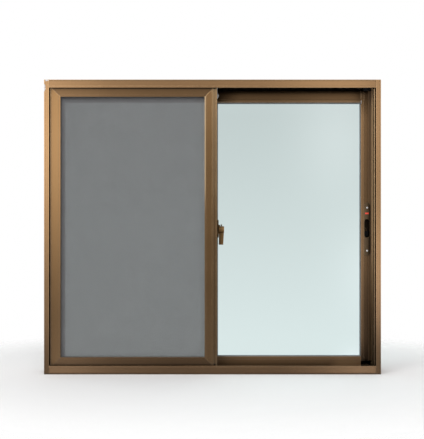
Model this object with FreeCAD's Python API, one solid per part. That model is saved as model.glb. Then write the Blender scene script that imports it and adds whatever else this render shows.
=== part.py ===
import FreeCAD, Part
import os

# Horizontal sliding window in bronze anodised aluminium, seen from its screen side.
# Millimetres, +Z up, X along the tracks, the screen side faces -Y.
# The origin is the middle of the sill's underside.

# Outer frame
frame_width = 1200.0
frame_height = 1050.0
frame_web = 2.0
flange_thickness = 2.4
flange_relief = 0.8
jamb_flange = 17.5
head_flange = 29.0
sill_flange = 30.0
sill_back_flange = 36.0
flange_bead = 4.0

# Free depth in front of, between and behind the sliding pieces
front_gap = 5.1
screen_gap = 8.5
sash_gap = 8.0
back_gap = 7.6

# Track fins, one in the middle of each track
fin_thickness = 2.0
screen_fin = 22.0
left_fin = 25.0
right_fin = 21.5
head_fin = 22.0
sill_rail = 22.0

# Anchor holes through the jambs, between the two glass tracks
anchor_hole = 6.5
anchor_inset = 150.0

# Insect screen
screen_depth = 18.0
screen_wall = 1.5
screen_fin_overlap = 1.0
screen_head_overlap = 6.0
screen_rail_overlap = 8.0
screen_left_bar = 36.4
screen_right_bar = 26.0
screen_top_bar = 44.4
screen_bottom_bar = 45.3
screen_grip_width = 18.0
screen_past_middle = 16.0
screen_lip = 6.9
screen_lip_depth = 10.5
screen_outer_bead = 3.0
screen_relief = 0.6
screen_stile_channel = 7.0
screen_top_channel = 16.5
screen_bottom_channel = 22.5
spline_groove = 4.0
spline_size = 3.6
mesh_thickness = 0.5
mesh_tuck = 6.4
grip_groove = 7.5
grip_groove_depth = 2.0

# Glass sashes
field_half = 12.0
bead_half = 13.0
sash_wall = 1.6
sash_web = 2.0
sash_side_gap = 14.0
sash_head_gap = 8.0
sash_rail_overlap = 8.0
sash_top_bar = 43.0
sash_bottom_bar = 38.5
sash_side_bar = 33.0
sash_fin_clearance = 5.0
stile_foot = 16.6
meeting_overlap = 17.0
left_meeting_bar = 42.0
right_meeting_bar = 34.0
bead_width = 11.2
glass_thickness = 5.0
glass_bite = 7.0
gasket_bite = 8.0
gasket_lip = 3.0
gasket_half = 5.5

# Rollers under the sashes and the screen
running_gap = 0.3
wheel_groove = 3.0
wheel_flange = 2.5
wheel_side_gap = 0.5
wheel_end_gap = 1.0
carrier_top = 1.5
roller_inset = 70.0
sash_wheel_radius = 5.5
sash_wheel_width = 8.0
sash_carrier = (44.0, 18.0)
screen_wheel_radius = 5.0
screen_wheel_width = 5.0
screen_carrier = (30.0, 12.0)
axle_radius = 2.0

# Top guides
guide_height = 16.0
guide_half = 8.0
guide_slot_half = 3.0
guide_plug = 12.0
guide_clearance = 0.3
nose_low = 32.0
nose_middle = 21.5
nose_high = 11.0
nose_reach = 6.2
nose_cheek = 1.2

# Pile strips
pile_width = 6.0
pile_height = 2.0

# Flush lock with thumb slide
lock_centre = 516.0
lock_width = 23.0
lock_height = 193.0
lock_plate = 1.1
cup_width = 18.0
cup_height = 68.8
cup_rise = 3.2
cup_wall = 1.0
cup_depth = 20.0
cup_inset = 1.0
cup_web_gap = 1.5
thumb_width = 14.0
thumb_height = 16.0
thumb_depth = 6.0
thumb_travel = 12.0
thumb_stem = 4.0
thumb_slot = 5.0
thumb_rise = 7.2
indicator_width = 13.5
indicator_height = 6.0
indicator_rise = 55.0
lock_cutout_gap = 0.5

# Crescent latch on the side of the left sash
latch_forward = 1.0
latch_pivot = 515.0
latch_base_below = 29.0
latch_base_above = 35.0
latch_base_thickness = 5.2
latch_base_width = 18.0
latch_boss_radius = 9.0
latch_boss = 0.5
cam_radius = 13.0
cam_thickness = 3.6
cam_flat = 6.0
lever_gap = 3.6
lever_width = 15.2
lever_hub = 12.0
lever_length = 54.5
lever_end_shift = 3.0
lever_tip_half = 4.0
nub_radius = 2.2
nub_height = 7.0
nub_shift = 2.0

# Keeper on the right sash
keeper_inside = 22.0
keeper_outside = 11.0
keeper_height = 34.0
keeper_thickness = 1.0
keeper_hook = 5.0

# Cutters run past the faces that they open
overcut = 1.0

half_width = frame_width / 2.0
frame_depth = (flange_thickness * 2 + front_gap + screen_depth + screen_gap
               + bead_half * 4 + sash_gap + back_gap)
half_depth = frame_depth / 2.0
screen_track_y = flange_thickness + front_gap + screen_depth / 2.0 - half_depth
left_track_y = screen_track_y + screen_depth / 2.0 + screen_gap + bead_half
right_track_y = left_track_y + bead_half * 2 + sash_gap
tracks = (screen_track_y, left_track_y, right_track_y)
anchor_y = left_track_y + bead_half + sash_gap / 2.0
latch_y = left_track_y - latch_forward
head_fin_tip = frame_height - head_fin

parts = {}


def box(x0, x1, y0, y1, z0, z1):
    corner = FreeCAD.Vector(min(x0, x1), min(y0, y1), min(z0, z1))
    return Part.makeBox(abs(x1 - x0), abs(y1 - y0), abs(z1 - z0), corner)


def cylinder(radius, length, centre, axis):
    return Part.makeCylinder(radius, length, FreeCAD.Vector(*centre), FreeCAD.Vector(*axis))


def prism(points, y0, y1):
    corners = [FreeCAD.Vector(x, y0, z) for x, z in points]
    face = Part.Face(Part.makePolygon(corners + corners[:1]))
    return face.extrude(FreeCAD.Vector(0, y1 - y0, 0))


def side_prism(points, x0, x1):
    corners = [FreeCAD.Vector(x0, y, z) for y, z in points]
    face = Part.Face(Part.makePolygon(corners + corners[:1]))
    return face.extrude(FreeCAD.Vector(x1 - x0, 0, 0))


def rounded_bar(x0, x1, y0, y1, z0, z1):
    radius = (x1 - x0) / 2.0
    middle = (x0 + x1) / 2.0
    shape = box(x0, x1, y0, y1, z0 + radius, z1 - radius)
    for z in (z0 + radius, z1 - radius):
        shape = shape.fuse(cylinder(radius, y1 - y0, (middle, y0, z), (0, 1, 0)))
    return shape.removeSplitter()


def mirrored(shape):
    return shape.mirror(FreeCAD.Vector(0, 0, 0), FreeCAD.Vector(1, 0, 0))


# Outer frame: jambs run the full height, head and sill are notched round them
def jamb():
    inner = half_width - jamb_flange
    shape = box(half_width - frame_web, half_width, -half_depth, half_depth, 0, frame_height)
    for side in (-1, 1):
        face = side * half_depth
        back = side * (half_depth - flange_thickness)
        shape = shape.fuse(box(inner, half_width, face, back, 0, frame_height))
        relief = side * (half_depth - flange_relief)
        shape = shape.cut(box(inner + flange_bead, half_width - flange_bead, face, relief, 0, frame_height))
    for y, height in zip(tracks, (screen_fin, left_fin, right_fin)):
        low, high = y - fin_thickness / 2.0, y + fin_thickness / 2.0
        shape = shape.fuse(box(half_width - height, half_width, low, high, 0, frame_height))
    for z in (anchor_inset, frame_height - anchor_inset):
        hole = cylinder(anchor_hole / 2.0, frame_web * 3, (half_width - frame_web * 2, anchor_y, z), (1, 0, 0))
        shape = shape.cut(hole)
    return shape.removeSplitter()


def cross_member(outside, inside, front_flange, back_flange, fin):
    reach = half_width - frame_web
    span = half_width - jamb_flange
    toward = 1.0 if inside > outside else -1.0
    floor = outside + toward * frame_web
    shape = box(-span, span, -half_depth, half_depth, outside, floor)
    between = half_depth - flange_thickness
    shape = shape.fuse(box(-reach, reach, -between, between, outside, floor))
    for side, flange in ((-1, front_flange), (1, back_flange)):
        face = side * half_depth
        relief = side * (half_depth - flange_relief)
        shape = shape.fuse(box(-span, span, face, side * between, outside, outside + toward * flange))
        low = outside + toward * flange_bead
        high = outside + toward * (flange - flange_bead * 1.5)
        shape = shape.cut(box(-span, span, face, relief, low, high))
    for y in tracks:
        low, high = y - fin_thickness / 2.0, y + fin_thickness / 2.0
        shape = shape.fuse(box(-reach, reach, low, high, outside, outside + toward * fin))
    return shape


right_jamb = jamb()
left_jamb = mirrored(right_jamb)
head = cross_member(frame_height, 0, head_flange, head_flange, head_fin)
sill = cross_member(0, frame_height, sill_flange, sill_back_flange, sill_rail)
parts["left_jamb"] = left_jamb
parts["right_jamb"] = right_jamb
parts["head_track"] = head.cut(left_jamb).cut(right_jamb).removeSplitter()
parts["sill_track"] = sill.cut(left_jamb).cut(right_jamb).removeSplitter()


# Insect screen: four hollow bars mitred at the corners, mesh pressed in from behind
screen_left = screen_fin - half_width - screen_fin_overlap
screen_right = screen_past_middle
screen_top = head_fin_tip + screen_head_overlap
screen_bottom = sill_rail - screen_rail_overlap
screen_grip_start = screen_right - screen_grip_width
screen_inner_left = screen_left + screen_left_bar
screen_inner_right = screen_grip_start - screen_right_bar
screen_inner_top = screen_top - screen_top_bar
screen_inner_bottom = screen_bottom + screen_bottom_bar
screen_front = screen_track_y - screen_depth / 2.0
screen_back = screen_track_y + screen_depth / 2.0
lip_back = screen_front + screen_lip_depth
hollow_front = screen_front + screen_wall
hollow_back = screen_back - screen_wall


def screen_bar(a0, a1, edge, outer, channel, upright):
    """A bar along a0..a1 whose inner edge and outer edge are given across it."""
    way = 1.0 if outer > edge else -1.0

    def across(b0, b1, y0, y1):
        if upright:
            return box(b0, b1, y0, y1, a0, a1)
        return box(a0, a1, y0, y1, b0, b1)

    lip = edge + way * screen_lip
    floor = outer - way * channel
    shape = across(edge, outer, screen_front, screen_back)
    shape = shape.cut(across(edge, lip, lip_back, screen_back))
    shape = shape.cut(across(lip, outer - way * screen_outer_bead, screen_front, screen_front + screen_relief))
    shape = shape.cut(across(floor, outer, hollow_front, hollow_back))
    shape = shape.cut(across(lip + way * screen_wall, floor - way * screen_wall, hollow_front, hollow_back))
    groove = edge + way * (screen_lip - spline_groove) / 2.0
    shape = shape.cut(across(groove, groove + way * spline_groove, lip_back - spline_groove, lip_back))
    return shape


def screen_zone(inner_z, way):
    far = screen_grip_start - screen_inner_left + frame_width
    step = screen_grip_start - screen_inner_right
    points = [
        (screen_inner_left, inner_z),
        (screen_inner_left - far, inner_z + way * far),
        (screen_grip_start, inner_z + way * far),
        (screen_grip_start, inner_z + way * step),
        (screen_inner_right, inner_z),
    ]
    return prism(points, screen_front - overcut, screen_back + overcut)


top_zone = screen_zone(screen_inner_top, 1.0)
bottom_zone = screen_zone(screen_inner_bottom, -1.0)
top_bar = screen_bar(screen_left, screen_grip_start, screen_inner_top, screen_top,
                     screen_top_channel, False)
bottom_bar = screen_bar(screen_left, screen_grip_start, screen_inner_bottom, screen_bottom,
                        screen_bottom_channel, False)
left_bar = screen_bar(screen_bottom, screen_top, screen_inner_left, screen_left,
                      screen_stile_channel, True)
right_bar = box(screen_inner_right, screen_grip_start, screen_front, screen_back, screen_bottom, screen_top)
lip_edge = screen_inner_right + screen_lip
groove_edge = screen_inner_right + (screen_lip - spline_groove) / 2.0
right_bar = right_bar.cut(box(screen_inner_right, lip_edge, lip_back, screen_back, screen_bottom, screen_top))
right_bar = right_bar.cut(box(groove_edge, groove_edge + spline_groove, lip_back - spline_groove, lip_back,
                              screen_bottom, screen_top))
right_bar = right_bar.cut(box(lip_edge + screen_wall, screen_grip_start - screen_wall, hollow_front,
                              hollow_back, screen_bottom, screen_top))
right_bar = right_bar.cut(box(lip_edge, screen_grip_start, screen_front, screen_front + screen_relief,
                              screen_bottom, screen_top))
right_bar = right_bar.cut(top_zone).cut(bottom_zone)
grip = box(screen_grip_start, screen_right, screen_front, screen_back, screen_bottom, screen_top)
grip_middle = (screen_grip_start + screen_right) / 2.0
groove_back = screen_front + grip_groove_depth
grip = grip.cut(box(grip_middle - grip_groove / 2.0, grip_middle + grip_groove / 2.0,
                    screen_front, groove_back, screen_bottom, screen_top))
grip = grip.cut(box(screen_grip_start + screen_wall, screen_right - screen_wall,
                    groove_back + screen_wall, hollow_back, screen_bottom, screen_top))
# The grip is cut away under its foot, so that the sill rail passes through it
for z0, z1 in ((screen_bottom, screen_bottom + screen_bottom_channel),
               (screen_top - screen_top_channel, screen_top)):
    grip = grip.cut(box(screen_grip_start, screen_right, hollow_front, hollow_back, z0, z1))
    right_bar = right_bar.cut(box(screen_inner_right, screen_grip_start, hollow_front, hollow_back, z0, z1))
parts["screen_top_rail"] = top_bar.common(top_zone)
parts["screen_bottom_rail"] = bottom_bar.common(bottom_zone)
parts["screen_left_stile"] = left_bar.cut(top_zone).cut(bottom_zone)
parts["screen_right_stile"] = right_bar.fuse(grip).removeSplitter()


def ring(x0, x1, z0, z1, width, y0, y1):
    outer = box(x0, x1, y0, y1, z0, z1)
    return outer.cut(box(x0 + width, x1 - width, y0, y1, z0 + width, z1 - width))


parts["screen_mesh"] = box(screen_inner_left - mesh_tuck, screen_inner_right + mesh_tuck,
                           lip_back, lip_back + mesh_thickness,
                           screen_inner_bottom - mesh_tuck, screen_inner_top + mesh_tuck)
spline_out = (screen_lip + spline_size) / 2.0
parts["screen_spline"] = ring(screen_inner_left - spline_out, screen_inner_right + spline_out,
                              screen_inner_bottom - spline_out, screen_inner_top + spline_out,
                              spline_size, lip_back - spline_size, lip_back)
parts["screen_pile_seal"] = box(grip_middle - pile_width / 2.0, grip_middle + pile_width / 2.0,
                                screen_back, screen_back + pile_height,
                                screen_inner_bottom, screen_inner_top)


def roller(x, y, ceiling, wheel_radius, wheel_width, carrier):
    """A grooved wheel on its axle in a carrier that hangs under the rail's web."""
    length, width = carrier
    axle_z = sill_rail + running_gap + wheel_radius
    rim = wheel_radius + wheel_flange
    floor = sill_rail + wheel_flange
    shape = box(x - length / 2.0, x + length / 2.0, y - width / 2.0, y + width / 2.0, floor, ceiling)
    slot = wheel_width / 2.0 + wheel_side_gap
    reach = rim + wheel_end_gap
    shape = shape.cut(box(x - reach, x + reach, y - slot, y + slot, floor, ceiling - carrier_top))
    wheel = cylinder(rim, wheel_width, (x, y - wheel_width / 2.0, axle_z), (0, 1, 0))
    groove = cylinder(rim + overcut, wheel_groove, (x, y - wheel_groove / 2.0, axle_z), (0, 1, 0))
    groove = groove.cut(cylinder(wheel_radius, wheel_groove, (x, y - wheel_groove / 2.0, axle_z), (0, 1, 0)))
    axle = cylinder(axle_radius, width, (x, y - width / 2.0, axle_z), (0, 1, 0))
    return shape.fuse(wheel.cut(groove)).fuse(axle).removeSplitter()


screen_ceiling = screen_bottom + screen_bottom_channel
for name, x in (("left", screen_inner_left + roller_inset), ("right", screen_inner_right - roller_inset)):
    parts["screen_roller_" + name] = roller(x, screen_track_y, screen_ceiling, screen_wheel_radius,
                                            screen_wheel_width, screen_carrier)


# Glass sashes, built as the right one; the left one is its mirror image about X = 0
sash_outer = half_width - sash_side_gap
sash_top = head_fin_tip - sash_head_gap
sash_bottom = sill_rail - sash_rail_overlap
stile_bottom = sill_rail + stile_foot
pane_top = sash_top - sash_top_bar
pane_bottom = sash_bottom + sash_bottom_bar
meeting_outer = -meeting_overlap
guide_top = sash_top + guide_height


def sash(y0, fin, meeting_bar):
    """Pieces of one sash. X grows from the meeting stile to the outer stile."""
    made = {}
    pane_inner = meeting_outer + meeting_bar
    outer_web = half_width - fin - sash_fin_clearance
    pane_outer = outer_web - sash_side_bar
    cup0 = outer_web - cup_web_gap - cup_wall - cup_width
    cup1 = cup0 + cup_width
    cup_low = lock_centre + cup_rise - cup_height / 2.0
    cup_high = cup_low + cup_height

    def member(upright, a0, a1, edge, outer, web, cavity):
        """Beaded edge, web, and an open channel or a closed box with a fin channel."""
        way = 1.0 if outer > edge else -1.0

        def across(b0, b1, y_low, y_high):
            if upright:
                return box(b0, b1, y0 + y_low, y0 + y_high, a0, a1)
            return box(a0, a1, y0 + y_low, y0 + y_high, b0, b1)

        step = edge + way * bead_width
        shape = across(edge, outer, -field_half, field_half)
        shape = shape.fuse(across(edge, step, -bead_half, bead_half))
        pocket = web - way * sash_web
        shape = shape.cut(across(edge, pocket, -gasket_half, gasket_half))
        for side in (-1, 1):
            near = side * (gasket_half + sash_wall)
            far = side * (bead_half - sash_wall)
            shape = shape.cut(across(edge + way * sash_wall, pocket, near, far))
        inside = field_half - sash_wall
        if cavity is None:
            shape = shape.cut(across(web, outer, -inside, inside))
        else:
            shape = shape.cut(across(web, cavity, -inside, inside))
            shape = shape.cut(across(cavity + way * sash_web, outer, -inside, inside))
        return shape.removeSplitter()

    # The outer stile's box reaches from the pocket web to the channel web
    box_start = cup0 - cup_wall - lock_cutout_gap
    stile = member(True, stile_bottom, sash_top, pane_outer, sash_outer, box_start, outer_web)
    gap = cup_wall + lock_cutout_gap
    stile = stile.cut(rounded_bar(cup0 - gap, cup1 + gap, y0 - bead_half, y0 - field_half + sash_wall * 2,
                                  cup_low - gap, cup_high + gap))
    made["outer_stile"] = stile
    meeting = member(True, stile_bottom, sash_top, pane_inner, meeting_outer, pane_inner - bead_width - sash_web,
                     meeting_outer + sash_wall)
    meeting = meeting.fuse(box(meeting_outer, meeting_outer + sash_wall, y0 - field_half, y0 + field_half,
                               stile_bottom, sash_top)).removeSplitter()
    made["meeting_stile"] = meeting
    made["top_rail"] = member(False, pane_inner, pane_outer, pane_top, sash_top,
                              pane_top + bead_width + sash_web, None)
    made["bottom_rail"] = member(False, pane_inner, pane_outer, pane_bottom, sash_bottom,
                                 pane_bottom - bead_width - sash_web, None)
    glass = box(pane_inner - glass_bite, pane_outer + glass_bite,
                y0 - glass_thickness / 2.0, y0 + glass_thickness / 2.0,
                pane_bottom - glass_bite, pane_top + glass_bite)
    made["glass"] = glass
    band = gasket_bite + gasket_lip
    gasket = ring(pane_inner - gasket_bite, pane_outer + gasket_bite,
                  pane_bottom - gasket_bite, pane_top + gasket_bite,
                  band, y0 - gasket_half, y0 + gasket_half)
    made["gasket"] = gasket.cut(glass)

    ceiling = pane_bottom - bead_width - sash_web
    for name, x in (("inner", pane_inner + roller_inset), ("outer", pane_outer - roller_inset)):
        made["roller_" + name] = roller(x, y0, ceiling, sash_wheel_radius, sash_wheel_width, sash_carrier)

    # Guides plug into the tops of the stiles and straddle the head fin
    spans = {
        "outer": (box_start + guide_clearance, outer_web - guide_clearance),
        "inner": (meeting_outer + sash_wall + guide_clearance,
                  pane_inner - bead_width - sash_web - guide_clearance),
    }
    inside = field_half - sash_wall - guide_clearance
    for name, (x0, x1) in spans.items():
        guide = box(x0, x1, y0 - guide_half, y0 + guide_half, sash_top, guide_top)
        guide = guide.fuse(box(x0, x1, y0 - inside, y0 + inside, sash_top - guide_plug, sash_top))
        guide = guide.cut(box(x0, x1, y0 - guide_slot_half, y0 + guide_slot_half, sash_top, guide_top))
        made["guide_" + name] = guide.removeSplitter()

    # Flush lock: face plate and cup in one casting, red marker, thumb slide
    face = y0 - field_half
    plate0 = cup0 - cup_inset
    plate1 = plate0 + lock_width
    case = rounded_bar(plate0, plate1, face - lock_plate, face,
                       lock_centre - lock_height / 2.0, lock_centre + lock_height / 2.0)
    cup = rounded_bar(cup0 - cup_wall, cup1 + cup_wall, face - lock_plate, face + cup_depth,
                      cup_low - cup_wall, cup_high + cup_wall)
    case = case.fuse(cup)
    case = case.cut(rounded_bar(cup0, cup1, face - lock_plate - overcut, face + cup_depth - cup_wall,
                                cup_low, cup_high))
    middle = (cup0 + cup1) / 2.0
    thumb_low = cup_low + thumb_rise
    case = case.cut(box(middle - thumb_slot / 2.0, middle + thumb_slot / 2.0,
                        face + cup_depth - cup_wall * 2, face + cup_depth + overcut,
                        thumb_low + thumb_slot, thumb_low + thumb_height + thumb_travel))
    marker = (middle - indicator_width / 2.0, middle + indicator_width / 2.0)
    indicator_low = lock_centre + indicator_rise
    case = case.cut(box(marker[0], marker[1], face - lock_plate, face,
                        indicator_low, indicator_low + indicator_height))
    made["lock_case"] = case.removeSplitter()
    made["lock_marker"] = box(marker[0], marker[1], face - lock_plate / 2.0, face,
                              indicator_low, indicator_low + indicator_height)
    slide_back = face + cup_depth - cup_wall - running_gap
    thumb = box(middle - thumb_width / 2.0, middle + thumb_width / 2.0,
                slide_back - thumb_depth, slide_back, thumb_low, thumb_low + thumb_height)
    stem_low = thumb_low + thumb_slot + running_gap
    stem = box(middle - thumb_stem / 2.0, middle + thumb_stem / 2.0, slide_back,
               face + cup_depth + overcut, stem_low, thumb_low + thumb_height - running_gap)
    made["lock_slide"] = thumb.fuse(stem).removeSplitter()
    return made


right = sash(right_track_y, right_fin, right_meeting_bar)
left = sash(left_track_y, left_fin, left_meeting_bar)

for name, shape in right.items():
    parts["right_sash_" + name] = shape
for name, shape in left.items():
    parts["left_sash_" + name] = mirrored(shape)

# The left sash's meeting end carries a white guide with a nose down its side
side = meeting_overlap
guide_front = left_track_y - guide_half
guide_back = left_track_y + guide_half
nose = prism([(side, sash_top - nose_low), (side + nose_reach, sash_top - nose_middle),
              (side + nose_cheek, sash_top - nose_high), (side + nose_cheek, guide_top),
              (side, guide_top)], guide_front, guide_back)
bridge = box(side - sash_wall - guide_clearance * 2, side, guide_front, guide_back, sash_top, guide_top)
slot = box(-half_width, half_width, left_track_y - guide_slot_half, left_track_y + guide_slot_half,
           sash_top, guide_top)
inner_guide = parts["left_sash_guide_inner"].fuse(nose).fuse(bridge).cut(slot)
parts["left_sash_guide_inner"] = inner_guide.removeSplitter()

left_back = left_track_y + field_half
parts["left_sash_pile_seal"] = box(-pile_width / 2.0, pile_width / 2.0, left_back, left_back + pile_height,
                                   pane_bottom, pane_top)

# Crescent latch: base on the stile's side, lever and half-moon cam turning about X
base_round = latch_base_width / 2.0
base_low = latch_pivot - latch_base_below + base_round
base_high = latch_pivot + latch_base_above - base_round
base_face = side + latch_base_thickness
base = box(side, base_face, latch_y - base_round, latch_y + base_round, base_low, base_high)
for z in (base_low, base_high):
    base = base.fuse(cylinder(base_round, latch_base_thickness, (side, latch_y, z), (1, 0, 0)))
base = base.fuse(cylinder(latch_boss_radius, latch_boss, (base_face, latch_y, latch_pivot), (1, 0, 0)))
parts["latch_base"] = base.removeSplitter()

cam_start = base_face + latch_boss + running_gap
lever_inner = cam_start + lever_gap
lever_outer = lever_inner + lever_width
cam_edge = latch_y + cam_flat
cam = cylinder(cam_radius, cam_thickness, (cam_start, latch_y, latch_pivot), (1, 0, 0))
hub = cylinder(lever_hub, lever_width, (lever_inner, latch_y, latch_pivot), (1, 0, 0))
beyond = box(cam_start, lever_outer, cam_edge, latch_y + cam_radius * 2,
             latch_pivot - cam_radius, latch_pivot + cam_radius)
lever_end = latch_pivot - lever_length
arm = prism([(cam_start, latch_pivot), (lever_outer, latch_pivot),
             (lever_outer - lever_end_shift, lever_end), (cam_start, lever_end)],
            latch_y - cam_flat, cam_edge)
taper = side_prism([(latch_y - cam_flat, latch_pivot), (cam_edge, latch_pivot),
                    (latch_y + lever_tip_half, lever_end), (latch_y - lever_tip_half, lever_end)],
                   side, lever_outer + lever_width)
spindle = cylinder(cam_flat, lever_inner - cam_start, (cam_start, latch_y, latch_pivot), (1, 0, 0))
nub_foot = latch_pivot + lever_hub - nub_radius
nub = cylinder(nub_radius, nub_height + nub_radius,
               ((lever_inner + lever_outer) / 2.0 - nub_shift, latch_y, nub_foot), (0, 0, 1))
lever = cam.fuse(hub).cut(beyond).fuse(arm.common(taper)).fuse(spindle).fuse(nub)
parts["latch_lever"] = lever.removeSplitter()

keeper_face = right_track_y - bead_half
keeper_low = latch_pivot - keeper_height / 2.0
keeper_high = latch_pivot + keeper_height / 2.0
keeper_right = side + keeper_outside
keeper = box(side - keeper_inside, keeper_right, keeper_face - keeper_thickness, keeper_face,
             keeper_low, keeper_high)
keeper = keeper.fuse(box(keeper_right - keeper_thickness, keeper_right, keeper_face,
                         keeper_face + keeper_hook, keeper_low, keeper_high))
parts["latch_keeper"] = keeper.removeSplitter()

os.makedirs("parts", exist_ok=True)
for name, shape in parts.items():
    if shape.ShapeType == "Compound" and len(shape.Solids) == 1:
        shape = shape.Solids[0]
    shape.exportStep("parts/%s.step" % name)
    print(name, len(shape.Solids), shape.isValid(), round(shape.Volume / 1000.0, 2))
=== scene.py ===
import math

import bmesh
import bpy
from mathutils import Matrix, Vector


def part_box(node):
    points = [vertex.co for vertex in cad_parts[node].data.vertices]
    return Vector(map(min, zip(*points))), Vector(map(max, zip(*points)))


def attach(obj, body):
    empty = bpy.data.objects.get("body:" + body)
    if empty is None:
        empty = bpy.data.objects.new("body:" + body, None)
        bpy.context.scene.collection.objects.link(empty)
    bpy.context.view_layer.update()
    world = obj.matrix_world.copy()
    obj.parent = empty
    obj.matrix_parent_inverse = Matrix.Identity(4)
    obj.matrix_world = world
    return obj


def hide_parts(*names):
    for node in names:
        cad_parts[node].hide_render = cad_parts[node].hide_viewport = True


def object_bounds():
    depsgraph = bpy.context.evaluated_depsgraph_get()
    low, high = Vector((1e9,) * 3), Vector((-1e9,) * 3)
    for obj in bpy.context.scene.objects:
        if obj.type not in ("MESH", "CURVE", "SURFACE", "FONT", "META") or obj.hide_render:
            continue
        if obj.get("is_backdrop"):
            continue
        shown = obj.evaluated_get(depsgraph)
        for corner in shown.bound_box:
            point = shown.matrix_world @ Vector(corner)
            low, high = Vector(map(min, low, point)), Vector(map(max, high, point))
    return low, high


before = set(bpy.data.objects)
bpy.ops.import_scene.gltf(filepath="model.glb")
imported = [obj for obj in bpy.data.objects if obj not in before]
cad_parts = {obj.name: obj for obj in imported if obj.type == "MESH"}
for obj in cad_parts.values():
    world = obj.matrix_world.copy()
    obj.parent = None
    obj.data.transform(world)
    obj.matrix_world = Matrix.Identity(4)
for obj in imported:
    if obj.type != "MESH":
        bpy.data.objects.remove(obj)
cad_low, cad_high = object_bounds()
MM = 0.001


# Outer frame: head, sill and two jambs, extruded in aluminium with a fin in each track.
# The bars are cut square, butted and screwed together, and anodised to a warm bronze.
# The die leaves faint lines along each bar, the raised beads are scuffed lighter and carry a
# painted highlight, and the deep tracks are dusted and darkened with painted shade.
def add(tree, kind, links=None, **settings):
    """Adds a node, with its settings, and with its inputs given as sockets or as values."""
    made = tree.nodes.new(kind)
    for key, value in settings.items():
        setattr(made, key, value)
    for key, value in (links or {}).items():
        if isinstance(value, bpy.types.NodeSocket):
            tree.links.new(value, made.inputs[key])
        else:
            made.inputs[key].default_value = value
    return made


def calc(tree, operation, a, b=0.0, clamp=False):
    return add(tree, "ShaderNodeMath", {0: a, 1: b}, operation=operation, use_clamp=clamp).outputs[0]


def ramp(tree, value, start, end, low=0.0, high=1.0):
    """Turns a value between start and end smoothly into one between low and high."""
    limits = {"Value": value, "From Min": start, "From Max": end, "To Min": low, "To Max": high}
    return add(tree, "ShaderNodeMapRange", limits, interpolation_type="SMOOTHSTEP").outputs[0]


def mix(tree, amount, first, second):
    return add(tree, "ShaderNodeMix", {0: amount, 6: first, 7: second}, data_type="RGBA").outputs[2]


def noise(tree, place, scale, detail=3.0):
    return add(tree, "ShaderNodeTexNoise", {"Vector": place, "Scale": scale, "Detail": detail}).outputs["Fac"]


def wander(tree, value, amount):
    """Centres a noise on nothing and scales it."""
    return calc(tree, "MULTIPLY", calc(tree, "SUBTRACT", value, 0.5), amount)


def shader_group(name, inputs, outputs):
    group = bpy.data.node_groups.new(name, "ShaderNodeTree")
    for label, kind, value in inputs:
        socket = group.interface.new_socket(label, in_out="INPUT", socket_type=kind)
        if value is not None:
            socket.default_value = value
    for label, kind in outputs:
        group.interface.new_socket(label, in_out="OUTPUT", socket_type=kind)
    return group, group.nodes.new("NodeGroupInput").outputs, group.nodes.new("NodeGroupOutput").inputs


DUST_AND_LIGHT = (0.25, 0.140, 0.060, 1.0)
# Near-black mixed over the bars where they lie in shade: painted shade.
PAINTED_SHADE = (0.02, 0.011, 0.005, 1.0)
COLOUR, NUMBER, VECTOR = "NodeSocketColor", "NodeSocketFloat", "NodeSocketVector"


def make_edge_highlight_and_shade():
    """Where a piece has a proud edge, scuffed and given a painted highlight, and how deep in painted shade it lies."""
    group, given, result = shader_group(
        "scuffed edge, painted highlight and painted shade",
        [("Edge Width", NUMBER, 0.002), ("Near Reach", NUMBER, 0.02), ("Far Reach", NUMBER, 0.12)],
        [("Edge", NUMBER), ("Near", NUMBER), ("Far", NUMBER)])
    flat = add(group, "ShaderNodeNewGeometry").outputs["Normal"]
    rounded = add(group, "ShaderNodeBevel", {"Radius": given["Edge Width"]}, samples=6).outputs[0]
    turn = add(group, "ShaderNodeVectorMath", {0: rounded, 1: flat}, operation="DOT_PRODUCT").outputs["Value"]
    far = add(group, "ShaderNodeAmbientOcclusion", {"Distance": given["Far Reach"]}, samples=12)
    near = add(group, "ShaderNodeAmbientOcclusion", {"Distance": given["Near Reach"]}, samples=12)
    beside = add(group, "ShaderNodeAmbientOcclusion", {"Distance": 0.0015}, samples=6)
    proud = ramp(group, beside.outputs["AO"], 0.75, 0.97)
    open_far = add(group, "ShaderNodeMapRange", {"Value": far.outputs["AO"], "From Min": 0.46, "From Max": 0.97,
                                                 "To Min": 0.12, "To Max": 1.0})
    open_near = ramp(group, near.outputs["AO"], 0.05, 0.42)
    group.links.new(calc(group, "MULTIPLY", ramp(group, turn, 0.995, 0.90), proud), result["Edge"])
    group.links.new(open_near, result["Near"])
    group.links.new(calc(group, "POWER", open_far.outputs[0], 1.25), result["Far"])
    return group


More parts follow.
